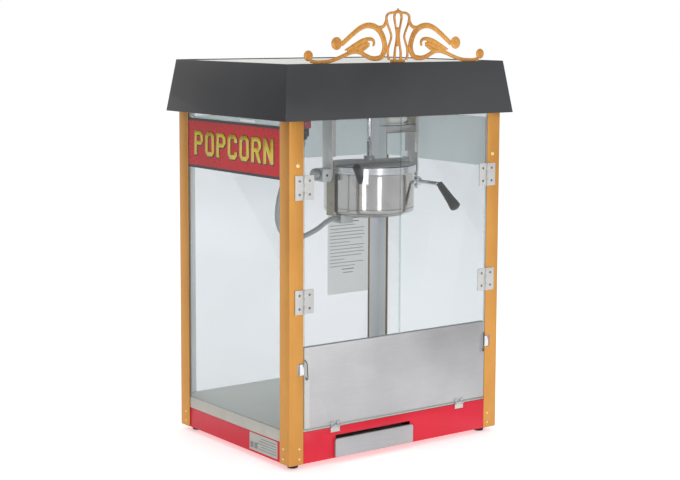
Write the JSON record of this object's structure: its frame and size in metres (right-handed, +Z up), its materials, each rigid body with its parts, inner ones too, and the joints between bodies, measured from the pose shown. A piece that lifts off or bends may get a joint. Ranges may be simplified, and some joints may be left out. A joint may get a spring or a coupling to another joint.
{
  "type": "popcorn maker",
  "caption": "Counter-top popcorn maker: glazed steel cabinet with glass doors, drop-down front panel, kernel drawer and a tilting kettle under a flared canopy.",
  "frame": {"origin": "on the ground under the middle of the cabinet", "axes": "+Z up, -Y out of the doors towards the operator, +X to the right seen from the front"},
  "size_m": [0.548, 0.4188, 0.8507],
  "materials": {
    "rubber": "matt",
    "gold_anodised": "satin anodised gold",
    "red_paint": "gloss enamel",
    "brushed_steel": "brushed stainless",
    "polished_steel": "polished",
    "clear_glass": "clear",
    "charcoal_paint": "semi-matt powder coat",
    "white_paint": "satin",
    "galvanised": "dull",
    "antique_gold": "antique",
    "black_plastic": "moulded",
    "grey_conduit": "braided sleeve",
    "lamp_ceramic": "unglazed",
    "lamp_frosted": "frosted"
  },
  "bodies": {
    "cabinet": {"foot_front_left": "rubber", "foot_front_right": "rubber", "foot_back_left": "rubber", "foot_back_right": "rubber", "base_tray": "red_paint", "base_front_panel": "red_paint", "deck_pan": "brushed_steel", "cord_inlet": "black_plastic", "post_front_left": "gold_anodised", "post_front_right": "gold_anodised", "post_back_left": "gold_anodised", "post_back_right": "gold_anodised", "left_glass": "clear_glass", "right_glass": "clear_glass", "back_glass": "clear_glass", "canopy_fascia": "charcoal_paint", "canopy_top": "white_paint", "ceiling_plate": "galvanised", "roof_cresting": "antique_gold", "hanger_left": "brushed_steel", "hanger_right": "brushed_steel", "pivot_block": "galvanised", "gear_motor": "galvanised", "lamp_bracket": "brushed_steel", "lamp_holder": "lamp_ceramic", "heat_lamp": "lamp_frosted", "lead_socket": "black_plastic", "lead_plug": "black_plastic", "kettle_lead": "grey_conduit", "left_post_leaf_upper": "polished_steel", "left_post_leaf_lower": "polished_steel", "right_post_leaf_upper": "polished_steel", "right_post_leaf_lower": "polished_steel", "panel_hinge_left": "polished_steel", "panel_hinge_right": "polished_steel"},
    "left_door": {"left_door_glass": "clear_glass", "left_door_leaf_upper": "polished_steel", "left_door_leaf_lower": "polished_steel"},
    "right_door": {"right_door_glass": "clear_glass", "right_door_leaf_upper": "polished_steel", "right_door_leaf_lower": "polished_steel"},
    "drop_panel": {"drop_panel": "brushed_steel"},
    "kernel_drawer": {"drawer_tray": "brushed_steel", "drawer_pull": "brushed_steel"},
    "catch_left": {"catch_left": "brushed_steel"},
    "catch_right": {"catch_right": "brushed_steel"},
    "kettle": {"kettle_pot": "polished_steel", "kettle_heater": "brushed_steel", "kettle_strap": "brushed_steel", "kettle_crossbar": "brushed_steel", "dump_arm": "brushed_steel", "dump_grip": "black_plastic", "side_grip": "black_plastic"},
    "lid_front": {"lid_front": "brushed_steel"},
    "lid_back": {"lid_back": "brushed_steel"},
    "stirrer": {"stirrer": "polished_steel"},
    "drive_shaft": {"drive_shaft": "polished_steel"},
    "switch_light": {"switch_light": "black_plastic"},
    "switch_heat": {"switch_heat": "black_plastic"},
    "switch_motor": {"switch_motor": "black_plastic"}
  },
  "joints": [
    {"name": "left_door_swing", "type": "hinge", "parent": "cabinet", "child": "left_door", "pos_m": [-0.2214, -0.1956, 0.42], "axis": [0, 0, -1], "range_deg": [0, 110]},
    {"name": "right_door_swing", "type": "hinge", "parent": "cabinet", "child": "right_door", "pos_m": [0.2214, -0.1956, 0.42], "axis": [0, 0, 1], "range_deg": [0, 110]},
    {"name": "drop_panel_fold", "type": "hinge", "parent": "cabinet", "child": "drop_panel", "pos_m": [0, -0.1956, 0.073], "axis": [1, 0, 0], "range_deg": [0, 90]},
    {"name": "kernel_drawer_slide", "type": "slide", "parent": "cabinet", "child": "kernel_drawer", "axis": [0, -1, 0], "range_m": [0, 0.2]},
    {"name": "catch_left_push", "type": "slide", "parent": "cabinet", "child": "catch_left", "axis": [-1, 0, 0], "range_m": [0, 0.003], "stiffness_N_per_m": 300},
    {"name": "catch_right_push", "type": "slide", "parent": "cabinet", "child": "catch_right", "axis": [1, 0, 0], "range_m": [0, 0.003], "stiffness_N_per_m": 300},
    {"name": "kettle_tilt", "type": "hinge", "parent": "cabinet", "child": "kettle", "pos_m": [0.06, -0.02, 0.527], "axis": [1, 0, 0], "range_deg": [0, 70], "deforming": ["kettle_lead"]},
    {"name": "lid_front_lift", "type": "hinge", "parent": "kettle", "child": "lid_front", "pos_m": [0.06, -0.0325, 0.54235], "axis": [-1, 0, 0], "range_deg": [0, 70]},
    {"name": "lid_back_lift", "type": "hinge", "parent": "kettle", "child": "lid_back", "pos_m": [0.06, -0.0075, 0.54235], "axis": [1, 0, 0], "range_deg": [0, 70]},
    {"name": "stirrer_spin", "type": "hinge", "parent": "kettle", "child": "stirrer", "pos_m": [0.06, -0.02, 0.46], "axis": [0, 0, 1], "continuous": true},
    {"name": "drive_spin", "type": "hinge", "parent": "cabinet", "child": "drive_shaft", "pos_m": [0.06, -0.02, 0.62], "axis": [0, 0, 1], "continuous": true},
    {"name": "switch_light_rock", "type": "hinge", "parent": "cabinet", "child": "switch_light", "pos_m": [-0.156, 0.20035, 0.698], "axis": [1, 0, 0], "range_deg": [0, 14]},
    {"name": "switch_heat_rock", "type": "hinge", "parent": "cabinet", "child": "switch_heat", "pos_m": [-0.12, 0.20035, 0.698], "axis": [1, 0, 0], "range_deg": [0, 14]},
    {"name": "switch_motor_rock", "type": "hinge", "parent": "cabinet", "child": "switch_motor", "pos_m": [-0.084, 0.20035, 0.698], "axis": [1, 0, 0], "range_deg": [0, 14]}
  ],
  "couplings": [
    {"joint": "drive_spin", "follows": "stirrer_spin", "ratio": 1}
  ]
}
